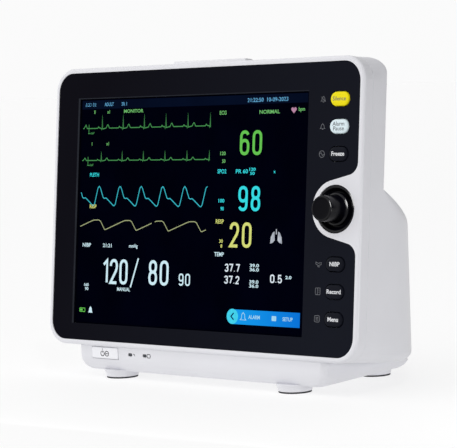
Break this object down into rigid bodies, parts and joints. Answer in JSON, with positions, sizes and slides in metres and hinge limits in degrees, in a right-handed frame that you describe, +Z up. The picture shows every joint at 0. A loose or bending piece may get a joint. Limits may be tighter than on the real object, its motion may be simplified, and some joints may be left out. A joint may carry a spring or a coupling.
{
  "type": "patient monitor",
  "caption": "Bedside patient monitor: slim tilted screen in a white frame with side keys and a turning knob, a deep rounded lower back with ports, and a low base on rubber feet.",
  "frame": {"origin": "middle of the object's outline in plan, on the surface under the feet", "axes": "+Z up; -Y out of the screen; +X the right-hand side of someone who faces the screen, where the keys and the knob are"},
  "size_m": [0.3304, 0.148, 0.2566],
  "materials": {
    "case_white": "fine satin texture, cool white",
    "panel_black": "polished black front sheet",
    "screen_navy": "smooth near-black display glass",
    "key_yellow": "satin yellow silicone-look plastic",
    "key_pale": "satin pale blue-white plastic",
    "key_black": "satin black plastic",
    "knob_black": "gloss black plastic",
    "rubber_dark": "matt dark grey rubber",
    "lens_frost": "frosted translucent lens",
    "led_smoke": "smoked lens",
    "board_green": "green solder resist",
    "sheet_steel": "plain bright steel",
    "plug_grey": "dark grey moulded plastic",
    "socket_blue": "blue moulded plastic",
    "socket_white": "off-white moulded plastic",
    "brass": "plain turned brass",
    "battery_blue": "dark blue shrink wrap"
  },
  "bodies": {
    "case": {"alarm_lamp_board": "board_green", "alarm_lamp_lens": "lens_frost", "base_tray": "case_white", "battery_door": "case_white", "battery_light": "led_smoke", "battery_pack": "battery_blue", "case_screw_base_left": "sheet_steel", "case_screw_base_right": "sheet_steel", "case_screw_top_left": "sheet_steel", "case_screw_top_right": "sheet_steel", "chassis_plate": "sheet_steel", "earth_stud": "brass", "ecg_socket": "socket_white", "encoder_body": "sheet_steel", "fan_frame": "plug_grey", "foot_pad_front_left": "rubber_dark", "foot_pad_front_right": "rubber_dark", "foot_pad_rear_left": "rubber_dark", "foot_pad_rear_right": "rubber_dark", "front_frame": "case_white", "front_panel": "panel_black", "key_board": "board_green", "knob_dish": "knob_black", "lcd_module": "screen_navy", "main_board": "board_green", "mains_inlet": "plug_grey", "mains_light": "led_smoke", "measuring_board": "board_green", "network_jack": "sheet_steel", "nibp_fitting": "sheet_steel", "nibp_pump": "plug_grey", "nibp_valve": "brass", "power_supply": "sheet_steel", "rear_housing": "case_white", "socket_plate": "plug_grey", "speaker": "plug_grey", "spo2_socket": "socket_blue", "temp_socket_1": "plug_grey", "temp_socket_2": "plug_grey"},
    "key_silence": {"key_silence": "key_yellow"},
    "key_alarm_pause": {"key_alarm_pause": "key_pale"},
    "key_freeze": {"key_freeze": "key_black"},
    "key_nibp": {"key_nibp": "key_black"},
    "key_record": {"key_record": "key_black"},
    "key_menu": {"key_menu": "key_black"},
    "power_key": {"power_key": "case_white"},
    "push_shaft": {"encoder_plunger": "plug_grey"},
    "knob": {"knob_cap": "knob_black", "encoder_shaft": "brass"},
    "fan": {"fan_rotor": "key_black"}
  },
  "joints": [
    {"name": "key_silence_press", "type": "slide", "parent": "case", "child": "key_silence", "axis": [0, 0.9942, -0.108], "range_m": [0, 0.001], "stiffness_N_per_m": 400, "springref_m": -0.001},
    {"name": "key_alarm_pause_press", "type": "slide", "parent": "case", "child": "key_alarm_pause", "axis": [0, 0.9942, -0.108], "range_m": [0, 0.001], "stiffness_N_per_m": 400, "springref_m": -0.001},
    {"name": "key_freeze_press", "type": "slide", "parent": "case", "child": "key_freeze", "axis": [0, 0.9942, -0.108], "range_m": [0, 0.001], "stiffness_N_per_m": 400, "springref_m": -0.001},
    {"name": "key_nibp_press", "type": "slide", "parent": "case", "child": "key_nibp", "axis": [0, 0.9942, -0.108], "range_m": [0, 0.001], "stiffness_N_per_m": 400, "springref_m": -0.001},
    {"name": "key_record_press", "type": "slide", "parent": "case", "child": "key_record", "axis": [0, 0.9942, -0.108], "range_m": [0, 0.001], "stiffness_N_per_m": 400, "springref_m": -0.001},
    {"name": "key_menu_press", "type": "slide", "parent": "case", "child": "key_menu", "axis": [0, 0.9942, -0.108], "range_m": [0, 0.001], "stiffness_N_per_m": 400, "springref_m": -0.001},
    {"name": "power_key_press", "type": "slide", "parent": "case", "child": "power_key", "axis": [0, 1, 0], "range_m": [0, 0.0004], "stiffness_N_per_m": 600, "springref_m": -0.001},
    {"name": "knob_push", "type": "slide", "parent": "case", "child": "push_shaft", "axis": [0, 0.9942, -0.108], "range_m": [0, 0.0005], "stiffness_N_per_m": 3000, "springref_m": -0.0008},
    {"name": "knob_turn", "type": "hinge", "parent": "push_shaft", "child": "knob", "pos_m": [0.1407, -0.0562, 0.1406], "axis": [0, -0.9942, 0.108], "continuous": true},
    {"name": "fan_spin", "type": "hinge", "parent": "case", "child": "fan", "pos_m": [0.022, 0.06623, 0.09], "axis": [0, 1, 0], "continuous": true}
  ]
}
